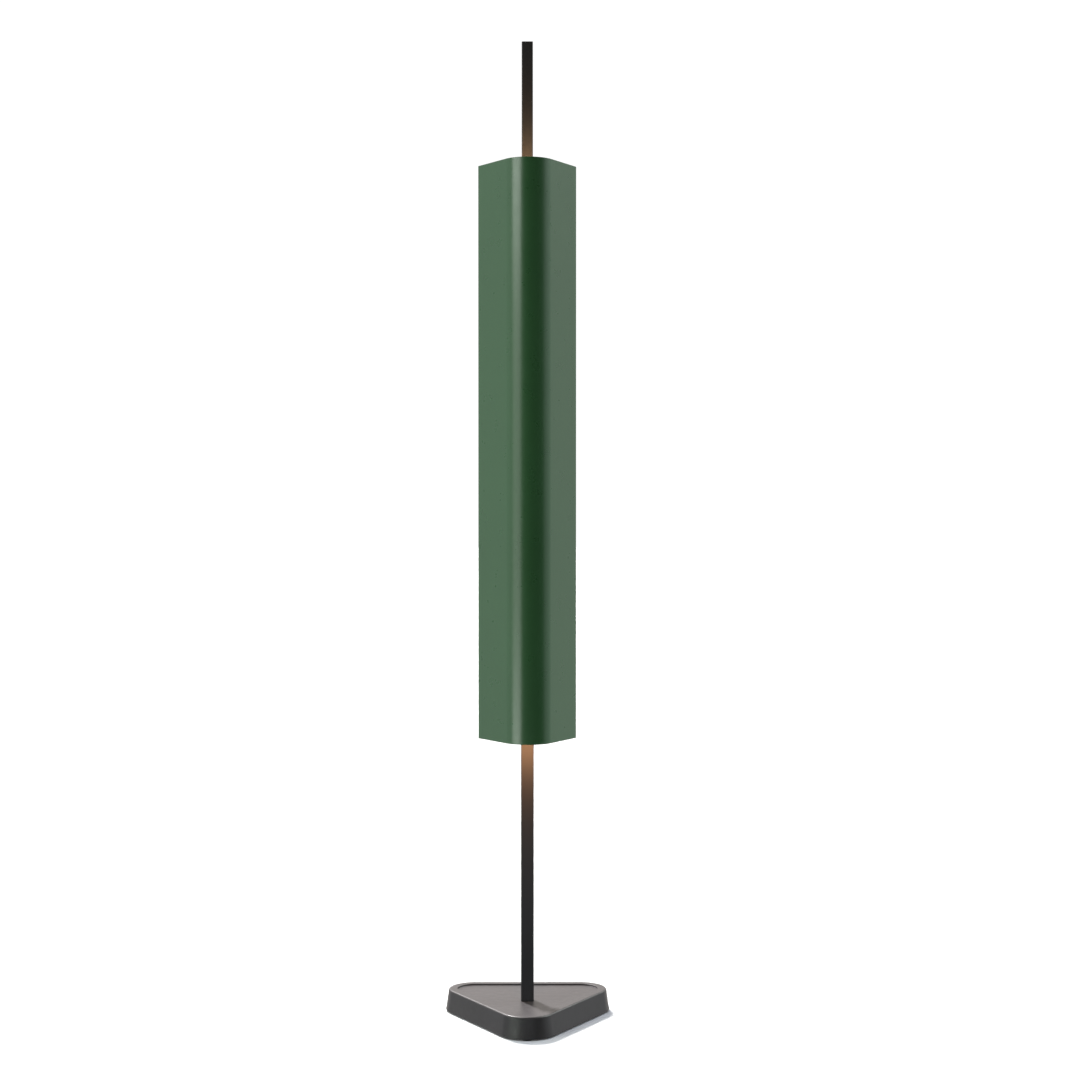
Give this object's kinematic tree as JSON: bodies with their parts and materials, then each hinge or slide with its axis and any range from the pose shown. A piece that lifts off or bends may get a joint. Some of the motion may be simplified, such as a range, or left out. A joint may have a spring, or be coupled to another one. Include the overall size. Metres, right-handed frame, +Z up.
{
  "type": "floor lamp",
  "caption": "Floor lamp with a telescopic black stem on a cast rounded-triangle base, and a tall open-backed V-shaped shade that swivels around a linear LED module.",
  "frame": {"origin": "on the floor, under the stem's axis, which is also the middle of the base's outline", "axes": "+Z up along the stem, -Y towards the front, where the base's single rounded corner points, +X to the right"},
  "size_m": [0.299, 0.267, 1.75],
  "materials": {
    "base_iron": "matte",
    "cover_steel": "matte",
    "zinc_steel": "satin",
    "pad_rubber": "matte",
    "bare_aluminium": "satin",
    "black_aluminium": "satin",
    "black_plastic": "matte",
    "white_plastic": "satin",
    "lead_rubber": "matte",
    "board_white": "satin",
    "board_green": "satin",
    "led_chip": "gloss",
    "opal_diffuser": "satin",
    "grey_button": "satin",
    "green_shade": "satin"
  },
  "bodies": {
    "base": {"base_casting": "base_iron", "base_cover": "cover_steel", "cover_screws": "zinc_steel", "foot_pads": "pad_rubber", "stem_plug": "bare_aluminium", "stem_screws": "zinc_steel", "stem_washers": "zinc_steel", "cord_gland": "black_plastic", "cord_clamp": "black_plastic", "cord_clamp_screws": "zinc_steel", "terminal_block": "white_plastic", "lower_stem": "black_aluminium", "stem_collar": "black_aluminium", "collar_screws": "zinc_steel", "guide_bush": "white_plastic", "coiled_lead": "lead_rubber"},
    "clamp_pad": {"clamp_pad": "white_plastic"},
    "clamp_knob": {"clamp_screw": "zinc_steel", "clamp_knob": "black_aluminium"},
    "upper_stem": {"upper_stem": "black_aluminium", "stem_cap": "black_plastic", "stem_slider": "white_plastic", "stem_lead": "lead_rubber", "top_bracket": "black_aluminium", "bracket_screws": "zinc_steel", "led_housing": "bare_aluminium", "led_board": "board_white", "led_chips": "led_chip", "led_diffuser": "opal_diffuser", "module_screws": "zinc_steel", "bottom_guide": "black_aluminium", "thrust_washer": "white_plastic", "retaining_ring": "zinc_steel", "dimmer_case": "black_plastic", "dimmer_board": "board_green", "dimmer_screws": "zinc_steel", "button_spring": "zinc_steel"},
    "dimmer_button": {"dimmer_button": "grey_button"},
    "shade": {"shade": "green_shade", "top_spider": "black_aluminium", "bottom_spider": "black_aluminium", "spider_screws": "zinc_steel"}
  },
  "joints": [
    {"name": "clamp_pad_slide", "type": "slide", "parent": "base", "child": "clamp_pad", "axis": [0, 1, 0], "range_m": [0, 0.001]},
    {"name": "clamp_knob_turn", "type": "hinge", "parent": "clamp_pad", "child": "clamp_knob", "pos_m": [0, 0.02, 0.749], "axis": [0, 1, 0], "range_deg": [0, 360]},
    {"name": "stem_height", "type": "slide", "parent": "base", "child": "upper_stem", "axis": [0, 0, 1], "range_m": [-0.35, 0], "deforming": ["coiled_lead"]},
    {"name": "dimmer_press", "type": "slide", "parent": "upper_stem", "child": "dimmer_button", "axis": [0, -1, 0], "range_m": [0, 0.0012], "stiffness_N_per_m": 800, "springref_m": -0.001, "deforming": ["button_spring"]},
    {"name": "shade_turn", "type": "hinge", "parent": "upper_stem", "child": "shade", "pos_m": [0, 0, 1.5], "axis": [0, 0, 1], "continuous": true}
  ],
  "couplings": [
    {"joint": "clamp_knob_turn", "follows": "clamp_pad_slide", "rad_per_m": 6283.2}
  ]
}
